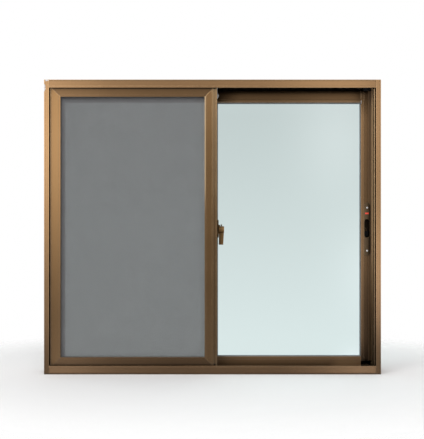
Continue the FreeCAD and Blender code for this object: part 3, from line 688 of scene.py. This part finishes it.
thumb_black = plain("black thumb slide", (0.004, 0.004, 0.004, 1.0), 0.5)
thumb_black.node_tree.nodes["Principled BSDF"].inputs["Specular IOR Level"].default_value = 0.12
for sash in SASHES:
    dress("%s_sash_lock_case" % sash, dark_casting, 0.35 * MM)
    dress("%s_sash_lock_slide" % sash, thumb_black, 0.5 * MM)
    dress("%s_sash_lock_marker" % sash, red_enamel, 0.2 * MM)
    low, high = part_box("%s_sash_lock_case" % sash)
    middle = (low[0] + high[0]) / 2.0
    drive("%s_sash_lock_screws" % sash,
          [(middle, low[1], low[2] + PLATE_SCREW_FROM_END), (middle, low[1], high[2] - PLATE_SCREW_FROM_END)],
          (0.0, -1.0, 0.0), "%s_sash" % sash)


# Crescent latch: a cast base on the side of the left sash's meeting stile, a lever whose
# half-moon cam turns behind it, and a pressed keeper on the right sash.
latch_bronze = casting("latch bronze", (0.35, 0.205, 0.085, 1.0), (0.42, 0.22, 0.08, 1.0), roughness=0.6)
for node in ("latch_base", "latch_lever", "latch_keeper"):
    dress(node, latch_bronze, 0.5 * MM)
BASE_SCREW_FROM_END = 8.0 * MM
low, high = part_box("latch_base")
middle = (low[1] + high[1]) / 2.0
face = high[0] - 0.5 * MM
drive("latch_base_screws", [(face, middle, low[2] + BASE_SCREW_FROM_END), (face, middle, high[2] - BASE_SCREW_FROM_END)],
      (1.0, 0.0, 0.0), "left_sash", 2.6 * MM, 0.4 * MM)
low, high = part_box("latch_keeper")
drive("latch_keeper_screws", [(0.004, low[1], low[2] + 7.0 * MM), (0.004, low[1], high[2] - 7.0 * MM)],
      (0.0, -1.0, 0.0), "right_sash", 2.6 * MM, 0.4 * MM)


# Studio: a pale floor that keeps the window's shadow and fades into the white background.
FLOOR_SIZE = (3.4, 2.6)
floor_mesh = bpy.data.meshes.new("floor")
half_x, half_y = FLOOR_SIZE[0] / 2.0, FLOOR_SIZE[1] / 2.0
floor_mesh.from_pydata([(-half_x, -half_y, 0.0), (half_x, -half_y, 0.0), (half_x, half_y, 0.0),
                        (-half_x, half_y, 0.0)], [], [(0, 1, 2, 3)])
floor = bpy.data.objects.new("floor", floor_mesh)
bpy.context.scene.collection.objects.link(floor)
material, tree, shader = new_material("pale floor")
shader.inputs["Base Color"].default_value = (0.9, 0.9, 0.9, 1.0)
shader.inputs["Roughness"].default_value = 0.9
place = add(tree, "ShaderNodeTexCoord").outputs["Object"]
scaled = add(tree, "ShaderNodeMapping",
             {"Vector": place, "Scale": (1.0 / half_x, 1.0 / half_y, 0.0)}).outputs[0]
away = add(tree, "ShaderNodeVectorMath", {0: scaled}, operation="LENGTH").outputs["Value"]
tree.links.new(ramp(tree, away, 0.45, 0.9, 1.0, 0.0), shader.inputs["Alpha"])
floor_mesh.materials.append(material)
floor.visible_transmission = False
floor.visible_glossy = False
floor.visible_shadow = False
floor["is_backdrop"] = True


# Light: a scrim in front and one behind, brighter in soft spots, give the bars their sheen.
SCRIM_AWAY = 3.5
SCRIM_BASE = 0.255
SCRIM_LOW = (0.97, 1.03, 1.22, 1.0)
SCRIM_HIGH = (1.0, 1.0, 1.0, 1.0)
SCRIM_SPOTS = (
    (-1.77, 1.22, 0.84, 0.84, 2.92),
    (-1.70, 0.00, 0.80, 1.00, 0.15),
    (1.32, 0.20, 0.33, 0.40, 2.10),
    (0.99, 1.25, 0.34, 0.50, 2.40),
    (1.17, 1.66, 0.12, 0.12, 1.60),
    (0.20, 2.20, 0.80, 0.70, 1.20),
    (-1.14, -0.60, 0.16, 0.12, 1.80),
    (1.10, -0.60, 0.12, 0.12, 2.80),
)


def scrim(name, y, side):
    mesh = bpy.data.meshes.new(name)
    mesh.from_pydata([(-4.0, y, -2.2), (4.0, y, -2.2), (4.0, y, 3.6), (-4.0, y, 3.6)], [], [(0, 1, 2, 3)])
    cloth = bpy.data.objects.new(name, mesh)
    bpy.context.scene.collection.objects.link(cloth)
    material = bpy.data.materials.new(name)
    material.use_nodes = True
    tree = material.node_tree
    tree.nodes.clear()
    out = tree.nodes.new("ShaderNodeOutputMaterial")
    place = add(tree, "ShaderNodeTexCoord").outputs["Object"]
    total = SCRIM_BASE
    for x, z, reach_x, reach_z, strength in SCRIM_SPOTS:
        moved = add(tree, "ShaderNodeVectorMath", {0: place, 1: (x * side, y, z)}, operation="SUBTRACT").outputs[0]
        scaled = add(tree, "ShaderNodeVectorMath", {0: moved, 1: (1.0 / reach_x, 0.0, 1.0 / reach_z)},
                     operation="MULTIPLY").outputs[0]
        square = add(tree, "ShaderNodeVectorMath", {0: scaled, 1: scaled}, operation="DOT_PRODUCT").outputs["Value"]
        fall = calc(tree, "POWER", math.e, calc(tree, "MULTIPLY", square, -1.0))
        total = calc(tree, "ADD", calc(tree, "MULTIPLY", fall, strength), total)
    height = add(tree, "ShaderNodeSeparateXYZ", {0: place}).outputs["Z"]
    tint = mix(tree, ramp(tree, height, -0.5, 0.6), SCRIM_LOW, SCRIM_HIGH)
    glow = add(tree, "ShaderNodeEmission", {"Color": tint, "Strength": total})
    tree.links.new(glow.outputs[0], out.inputs["Surface"])
    mesh.materials.append(material)
    cloth.visible_camera = False
    cloth.visible_transmission = False
    cloth.visible_shadow = False
    cloth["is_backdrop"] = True


scrim("front scrim", -SCRIM_AWAY, 1.0)
scrim("back scrim", SCRIM_AWAY, -1.0)

world = bpy.data.worlds.new("studio")
bpy.context.scene.world = world
world.use_nodes = True
tree = world.node_tree
tree.nodes.clear()
out = tree.nodes.new("ShaderNodeOutputWorld")
rays = tree.nodes.new("ShaderNodeLightPath")
direction = add(tree, "ShaderNodeTexCoord").outputs["Generated"]
height = add(tree, "ShaderNodeSeparateXYZ", {0: direction}).outputs["Z"]
through_glass = add(tree, "ShaderNodeMapRange", {"Value": height, "From Min": -0.14, "From Max": 0.12,
                                                 "To Min": 0.865, "To Max": 0.66}).outputs[0]
lit = add(tree, "ShaderNodeMix", {0: rays.outputs["Is Transmission Ray"], 2: 0.75, 3: through_glass}).outputs[0]
shown = add(tree, "ShaderNodeMix", {0: rays.outputs["Is Camera Ray"], 2: lit, 3: 1.0}).outputs[0]
sky = add(tree, "ShaderNodeBackground", {"Color": (1.0, 1.0, 1.0, 1.0), "Strength": shown})
tree.links.new(sky.outputs[0], out.inputs["Surface"])

lamp = bpy.data.lights.new("soft box", "AREA")
lamp.shape = "RECTANGLE"
lamp.size = 2.4
lamp.size_y = 1.4
lamp.energy = 40.0
soft_box = bpy.data.objects.new("soft box", lamp)
soft_box.location = (-0.7, -1.9, 2.6)
aim = Vector((0.0, 0.0, 0.5)) - soft_box.location
soft_box.rotation_euler = aim.to_track_quat("-Z", "Y").to_euler()
bpy.context.scene.collection.objects.link(soft_box)

# Camera: level with the middle of the window, square to it, three metres away.
PHOTO_HIGH = 439.0
PHOTO_CENTRE = (212.0, 219.5)
WINDOW_CENTRE = (212.5, 226.95)
PIXEL = 3.561 * MM
CAMERA_AWAY = 3.0
lens = bpy.data.cameras.new("camera")
lens.sensor_fit = "VERTICAL"
lens.sensor_height = 36.0
lens.lens = lens.sensor_height * CAMERA_AWAY / (PHOTO_HIGH * PIXEL)
camera = bpy.data.objects.new("camera", lens)
middle_x = (cad_low[0] + cad_high[0]) / 2.0
middle_z = (cad_low[2] + cad_high[2]) / 2.0
camera.location = (middle_x - (WINDOW_CENTRE[0] - PHOTO_CENTRE[0]) * PIXEL, cad_low[1] - CAMERA_AWAY,
                   middle_z + (WINDOW_CENTRE[1] - PHOTO_CENTRE[1]) * PIXEL)
camera.rotation_euler = (math.radians(90), 0.0, 0.0)
bpy.context.scene.collection.objects.link(camera)
bpy.context.scene.camera = camera
bpy.context.scene.view_settings.view_transform = "Standard"

low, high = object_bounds()
